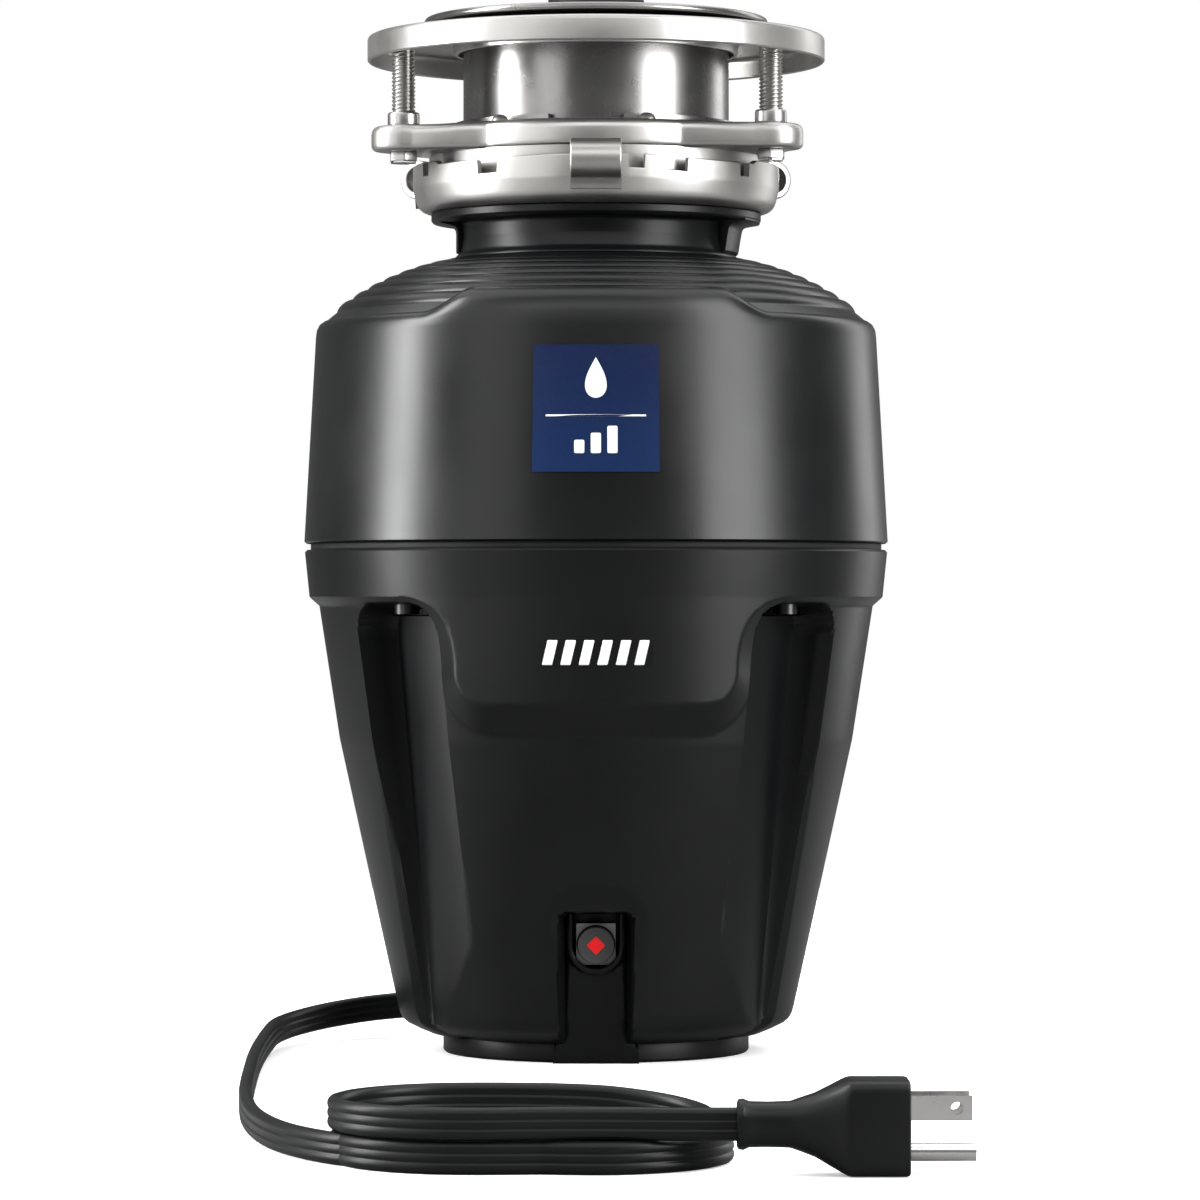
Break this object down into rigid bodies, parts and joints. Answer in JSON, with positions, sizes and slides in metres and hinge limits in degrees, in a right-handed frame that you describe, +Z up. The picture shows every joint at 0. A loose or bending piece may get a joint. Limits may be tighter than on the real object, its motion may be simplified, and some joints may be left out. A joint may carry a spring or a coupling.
{
  "type": "kitchen garbage disposal",
  "caption": "Under-sink food waste disposer with ribbed dome, fluted casing, bolt-up sink mount, stopper and a loose mains lead with moulded plug.",
  "frame": {"origin": "centre of the base's flat underside, on the rotor axis", "axes": "+Z up the rotor axis to the sink, front with the reset button towards -Y"},
  "size_m": [0.2112, 0.499, 0.351],
  "materials": {
    "satin_black_plastic": "satin",
    "matte_black_plastic": "fine grain",
    "cast_alloy": "satin",
    "polished_steel": "polished",
    "zinc_plate": "zinc plated",
    "stainless": "brushed",
    "bearing_steel": "ground",
    "bronze": "sintered",
    "copper": "lacquered",
    "ferrite": "sintered",
    "black_rubber": "matt",
    "fibre": "pressed fibre",
    "foam": "foam",
    "grey_plastic": "glass filled",
    "button_plastic": "with a red diamond",
    "cord_vinyl": "satin",
    "plated_brass": "nickel plated",
    "blue_badge": "printed film",
    "light_mark": "printed"
  },
  "bodies": {
    "housing": {"lower_shell": "matte_black_plastic", "upper_shell": "satin_black_plastic", "seam_gasket": "black_rubber", "through_screws": "zinc_plate", "dome_cover": "matte_black_plastic", "neck_collar": "cast_alloy", "upper_mounting_ring": "cast_alloy", "jack_screws": "zinc_plate", "collar_nuts": "zinc_plate", "snap_ring": "polished_steel", "mounting_gasket": "black_rubber", "sink_flange": "polished_steel", "backup_flange": "polished_steel", "fibre_gasket": "fibre", "splash_guard": "black_rubber", "grind_chamber": "grey_plastic", "grind_ring": "stainless", "sound_insulation": "foam", "dishwasher_inlet": "grey_plastic", "inlet_knockout": "grey_plastic", "drain_housing": "grey_plastic", "outlet_plate": "cast_alloy", "upper_bearing": "bronze", "water_seal": "black_rubber", "lower_bearing": "bronze", "lower_end_bell": "cast_alloy", "motor_can": "bearing_steel", "field_magnets": "ferrite", "carbon_brushes": "ferrite", "base_cap": "matte_black_plastic", "base_screws": "zinc_plate", "overload_protector": "zinc_plate", "terminal_block": "grey_plastic", "ground_screw": "zinc_plate", "wire_nuts": "grey_plastic", "cord_lead": "cord_vinyl", "cord_coil": "cord_vinyl", "cord_tail": "cord_vinyl", "strain_relief": "black_rubber", "plug_body": "cord_vinyl", "plug_blades": "plated_brass", "plug_earth_pin": "plated_brass", "badge": "blue_badge", "name_bar": "light_mark"},
    "rotor": {"rotor_shaft": "bearing_steel", "turntable": "stainless", "turntable_nut": "zinc_plate", "armature_core": "bearing_steel", "armature_windings": "copper", "commutator": "copper", "impeller_rivets": "stainless"},
    "front_impeller": {"front_impeller": "stainless"},
    "rear_impeller": {"rear_impeller": "stainless"},
    "mount_ring": {"lower_mounting_ring": "cast_alloy"},
    "button": {"reset_button": "button_plastic"},
    "stopper": {"stopper": "polished_steel", "stopper_seal": "black_rubber"}
  },
  "joints": [
    {"name": "rotor_spin", "type": "hinge", "parent": "housing", "child": "rotor", "pos_m": [0, 0, 0.17], "axis": [0, 0, 1], "continuous": true},
    {"name": "front_impeller_swing", "type": "hinge", "parent": "rotor", "child": "front_impeller", "pos_m": [0, -0.046, 0.178], "axis": [0, 0, 1], "continuous": true},
    {"name": "rear_impeller_swing", "type": "hinge", "parent": "rotor", "child": "rear_impeller", "pos_m": [0, 0.046, 0.178], "axis": [0, 0, 1], "continuous": true},
    {"name": "mount_ring_turn", "type": "hinge", "parent": "housing", "child": "mount_ring", "pos_m": [0, 0, 0.285], "axis": [0, 0, 1], "range_deg": [-38, 0]},
    {"name": "button_press", "type": "slide", "parent": "housing", "child": "button", "axis": [0, 1, 0], "range_m": [0, 0.003], "stiffness_N_per_m": 400, "springref_m": -0.002},
    {"name": "stopper_lift", "type": "slide", "parent": "housing", "child": "stopper", "axis": [0, 0, 1], "range_m": [0, 0.06]}
  ]
}
